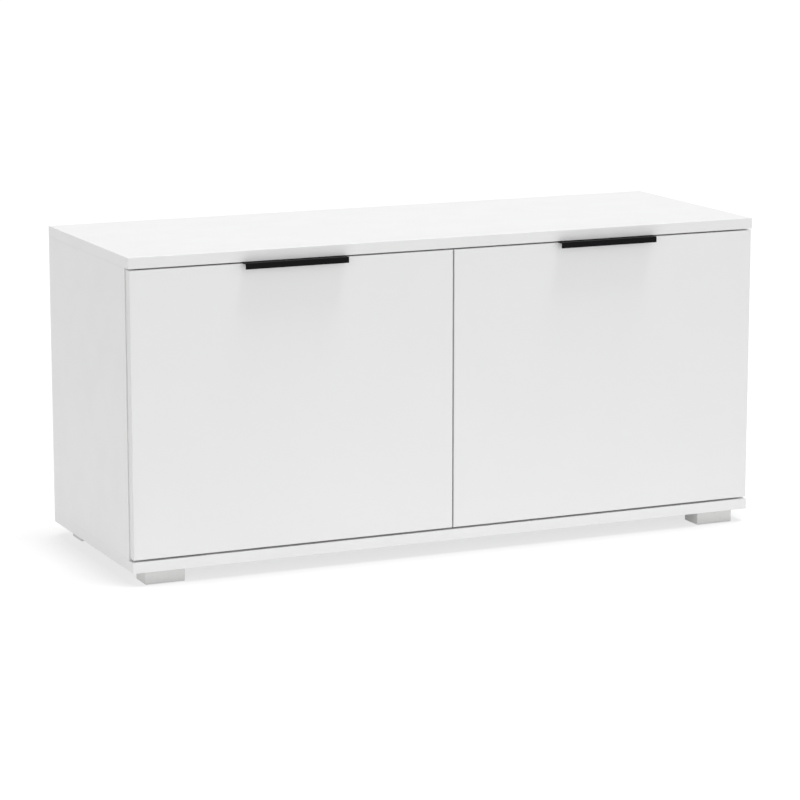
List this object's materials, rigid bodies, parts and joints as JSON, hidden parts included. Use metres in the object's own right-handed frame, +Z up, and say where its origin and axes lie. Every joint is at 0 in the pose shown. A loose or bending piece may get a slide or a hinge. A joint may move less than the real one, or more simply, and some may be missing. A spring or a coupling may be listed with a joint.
{
  "type": "tv_stand_with_doors",
  "caption": "Low white television stand: board carcass with shelved compartments behind drop-down gloss doors on friction stays, black edge handles, silver block feet",
  "frame": {"origin": "on the floor under the middle of the whole stand, handles included", "axes": "+X to the right seen from the front, -Y out of the doors, +Z up"},
  "size_m": [1, 0.368, 0.472],
  "materials": {
    "gloss_white_lacquer": "gloss",
    "white_melamine_board": "satin",
    "white_hardboard": "matte",
    "black_coated_steel": "satin",
    "silver_foot_plastic": "satin",
    "zinc_plated_steel": "satin",
    "die_cast_zinc": "matte",
    "beech_dowel": "matte",
    "white_fitting_plastic": "satin",
    "black_ferrite": "matte",
    "clear_bumper_rubber": "satin"
  },
  "bodies": {
    "carcass": {"top_panel": "white_melamine_board", "bottom_panel": "white_melamine_board", "left_side_panel": "white_melamine_board", "right_side_panel": "white_melamine_board", "centre_divider": "white_melamine_board", "back_panel": "white_hardboard", "left_shelf": "white_melamine_board", "right_shelf": "white_melamine_board", "shelf_pins": "zinc_plated_steel", "front_left_foot": "silver_foot_plastic", "front_right_foot": "silver_foot_plastic", "rear_left_foot": "silver_foot_plastic", "rear_right_foot": "silver_foot_plastic", "foot_screws": "zinc_plated_steel", "wooden_dowels": "beech_dowel", "cam_discs": "die_cast_zinc", "cam_bolts": "zinc_plated_steel", "hinge_screws": "zinc_plated_steel", "stay_bracket_screws": "zinc_plated_steel", "catch_screws": "zinc_plated_steel", "left_outer_hinge_arm": "zinc_plated_steel", "left_inner_hinge_arm": "zinc_plated_steel", "left_outer_hinge_plate": "zinc_plated_steel", "left_inner_hinge_plate": "zinc_plated_steel", "left_stay_bracket": "zinc_plated_steel", "left_catch_housing": "white_fitting_plastic", "left_catch_magnet": "black_ferrite", "right_outer_hinge_arm": "zinc_plated_steel", "right_inner_hinge_arm": "zinc_plated_steel", "right_outer_hinge_plate": "zinc_plated_steel", "right_inner_hinge_plate": "zinc_plated_steel", "right_stay_bracket": "zinc_plated_steel", "right_catch_housing": "white_fitting_plastic", "right_catch_magnet": "black_ferrite"},
    "left_door": {"left_door_panel": "gloss_white_lacquer", "left_handle": "black_coated_steel", "left_handle_screws": "zinc_plated_steel", "left_outer_hinge_cup": "zinc_plated_steel", "left_inner_hinge_cup": "zinc_plated_steel", "left_door_screws": "zinc_plated_steel", "left_door_bracket": "zinc_plated_steel", "left_strike_plate": "zinc_plated_steel", "left_bumpers": "clear_bumper_rubber"},
    "left_stay_rod": {"left_stay_rod": "zinc_plated_steel"},
    "left_stay_block": {"left_stay_block": "white_fitting_plastic"},
    "right_door": {"right_door_panel": "gloss_white_lacquer", "right_handle": "black_coated_steel", "right_handle_screws": "zinc_plated_steel", "right_outer_hinge_cup": "zinc_plated_steel", "right_inner_hinge_cup": "zinc_plated_steel", "right_door_screws": "zinc_plated_steel", "right_door_bracket": "zinc_plated_steel", "right_strike_plate": "zinc_plated_steel", "right_bumpers": "clear_bumper_rubber"},
    "right_stay_rod": {"right_stay_rod": "zinc_plated_steel"},
    "right_stay_block": {"right_stay_block": "white_fitting_plastic"}
  },
  "joints": [
    {"name": "left_door_hinge", "type": "hinge", "parent": "carcass", "child": "left_door", "pos_m": [-0.25, -0.165, 0.04613], "axis": [1, 0, 0], "range_deg": [0, 90]},
    {"name": "left_rod_pivot", "type": "hinge", "parent": "left_door", "child": "left_stay_rod", "pos_m": [-0.47, -0.144, 0.16613], "axis": [1, 0, 0], "range_deg": [-45, 0]},
    {"name": "left_block_pivot", "type": "hinge", "parent": "carcass", "child": "left_stay_block", "pos_m": [-0.47, -0.07897, 0.13238], "axis": [1, 0, 0], "range_deg": [0, 45]},
    {"name": "right_door_hinge", "type": "hinge", "parent": "carcass", "child": "right_door", "pos_m": [0.25, -0.165, 0.04613], "axis": [1, 0, 0], "range_deg": [0, 90]},
    {"name": "right_rod_pivot", "type": "hinge", "parent": "right_door", "child": "right_stay_rod", "pos_m": [0.47, -0.144, 0.16613], "axis": [1, 0, 0], "range_deg": [-45, 0]},
    {"name": "right_block_pivot", "type": "hinge", "parent": "carcass", "child": "right_stay_block", "pos_m": [0.47, -0.07897, 0.13238], "axis": [1, 0, 0], "range_deg": [0, 45]}
  ],
  "couplings": [
    {"joint": "left_rod_pivot", "follows": "left_door_hinge", "ratio": -0.5},
    {"joint": "left_block_pivot", "follows": "left_door_hinge", "ratio": 0.5},
    {"joint": "right_rod_pivot", "follows": "right_door_hinge", "ratio": -0.5},
    {"joint": "right_block_pivot", "follows": "right_door_hinge", "ratio": 0.5}
  ]
}
